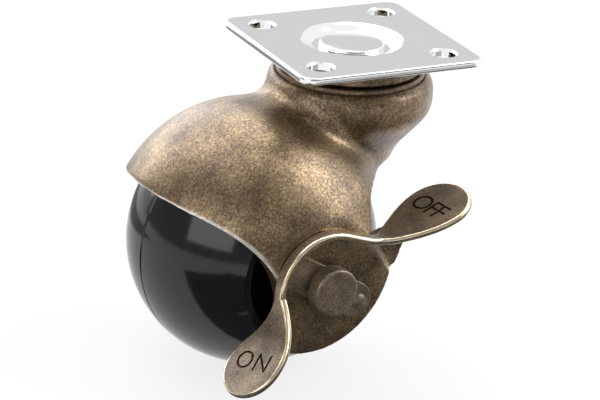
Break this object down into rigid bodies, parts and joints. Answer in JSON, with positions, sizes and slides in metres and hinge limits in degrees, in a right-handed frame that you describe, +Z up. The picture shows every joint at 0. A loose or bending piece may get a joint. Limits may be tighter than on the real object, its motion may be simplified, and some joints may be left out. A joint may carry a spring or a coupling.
{
  "type": "ball castor",
  "caption": "Swivelling furniture castor with a chrome top plate, a bronze hood over a black ball and a stamped foot brake lever with ON and OFF paddles.",
  "frame": {"origin": "centre of the top plate's upper face, which is also the centre of its screw pattern and lies on the swivel axis", "axes": "+Z up along the swivel axis, X and Y along the plate's sides; the ball trails toward -X and the brake lever is on the -Y side"},
  "size_m": [0.0672, 0.0679, 0.0648],
  "materials": {
    "plate_chrome": "bright nickel or chrome plated steel",
    "bare_steel": "plain bearing or spring steel",
    "bronze_casting": "antique bronze plated zinc die casting, satin lacquer",
    "bronze_steel": "antique bronze plated stamped steel with rubbed bright edges",
    "ball_plastic": "polished black nylon",
    "bush_plastic": "natural acetal",
    "shoe_rubber": "hard friction rubber"
  },
  "bodies": {
    "plate": {"top_plate": "plate_chrome", "kingpin": "plate_chrome", "kingpin_washer": "bare_steel", "upper_race": "bronze_steel", "swivel_balls": "bare_steel"},
    "hood": {"hood": "bronze_casting", "lower_race": "bronze_steel", "swivel_bush": "bush_plastic", "axle_pin": "bronze_steel", "axle_cap": "bronze_steel", "side_washers": "bush_plastic", "plunger_spring": "bare_steel"},
    "ball": {"ball_shell_near": "ball_plastic", "ball_shell_far": "ball_plastic", "axle_bush_near": "bush_plastic", "axle_bush_far": "bush_plastic", "brake_ring": "bare_steel"},
    "lever": {"brake_lever": "bronze_steel", "lever_washer": "bronze_steel"},
    "plunger": {"brake_plunger": "bare_steel", "brake_shoe": "shoe_rubber"}
  },
  "joints": [
    {"name": "swivel", "type": "hinge", "parent": "plate", "child": "hood", "pos_m": [0, 0, 0], "axis": [0, 0, 1], "continuous": true},
    {"name": "ball_spin", "type": "hinge", "parent": "hood", "child": "ball", "pos_m": [-0.02181, -0.00287, -0.0394], "axis": [0.1305, -0.9914, 0], "continuous": true},
    {"name": "brake_pivot", "type": "hinge", "parent": "hood", "child": "lever", "pos_m": [-0.02181, -0.00287, -0.0394], "axis": [0.1305, -0.9914, 0], "range_deg": [0, 15]},
    {"name": "brake_plunger", "type": "slide", "parent": "hood", "child": "plunger", "axis": [-0.1305, 0.9914, 0], "range_m": [0, 0.00045]}
  ],
  "couplings": [
    {"joint": "brake_plunger", "follows": "brake_pivot", "m_per_rad": 0.0017189}
  ]
}
